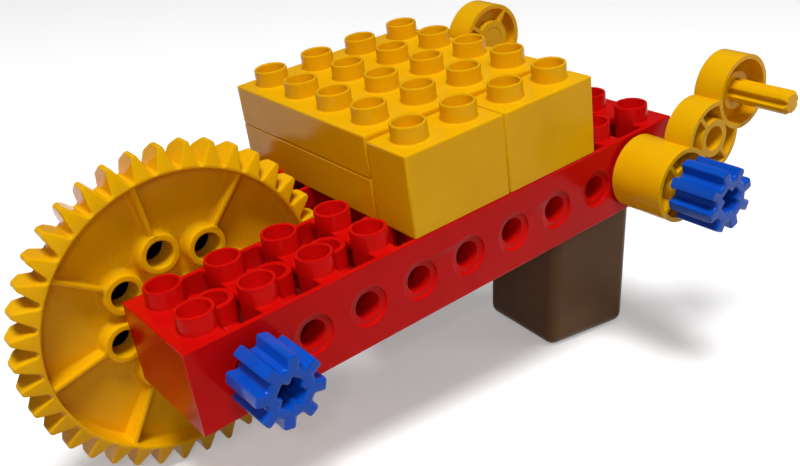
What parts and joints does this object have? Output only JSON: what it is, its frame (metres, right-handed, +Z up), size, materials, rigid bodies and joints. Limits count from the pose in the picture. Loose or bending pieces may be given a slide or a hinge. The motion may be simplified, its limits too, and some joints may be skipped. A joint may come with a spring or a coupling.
{
  "type": "crank and gear building toy",
  "caption": "Studded plastic beam with cross holes that carries a large crown gear, long pinions, lobed cranks, stacked bricks and plates, and a block below that props it up.",
  "frame": {"origin": "centre of the beam's middle cross hole", "axes": "+X along the beam from the gear end to the crank end, +Y away from the pinions along the cross holes, +Z up through the studs"},
  "size_m": [0.2077, 0.1127, 0.1044],
  "materials": {
    "red_plastic": "gloss",
    "yellow_plastic": "gloss",
    "blue_plastic": "gloss",
    "brown_plastic": "gloss",
    "axle_plastic": "gloss"
  },
  "bodies": {
    "frame": {"beam": "red_plastic", "left_brick": "yellow_plastic", "right_brick": "yellow_plastic", "lower_plate": "yellow_plastic", "upper_plate": "yellow_plastic", "grip_block": "brown_plastic"},
    "gear_shaft": {"crown_gear": "yellow_plastic", "gear_pinion": "blue_plastic", "gear_axle": "axle_plastic"},
    "near_crank_shaft": {"near_crank": "yellow_plastic", "crank_pinion": "blue_plastic", "crank_axle": "axle_plastic", "handle_pin": "yellow_plastic"},
    "far_crank_shaft": {"far_crank": "yellow_plastic", "far_axle": "axle_plastic", "far_plug": "yellow_plastic"}
  },
  "joints": [
    {"name": "gear_spin", "type": "hinge", "parent": "frame", "child": "gear_shaft", "pos_m": [-0.064, 0, 0], "axis": [0, 1, 0], "continuous": true},
    {"name": "near_crank_spin", "type": "hinge", "parent": "frame", "child": "near_crank_shaft", "pos_m": [0.064, 0, 0], "axis": [0, 1, 0], "continuous": true},
    {"name": "far_crank_swing", "type": "hinge", "parent": "frame", "child": "far_crank_shaft", "pos_m": [0.064, 0, 0], "axis": [0, 1, 0], "range_deg": [-1, 278]}
  ]
}
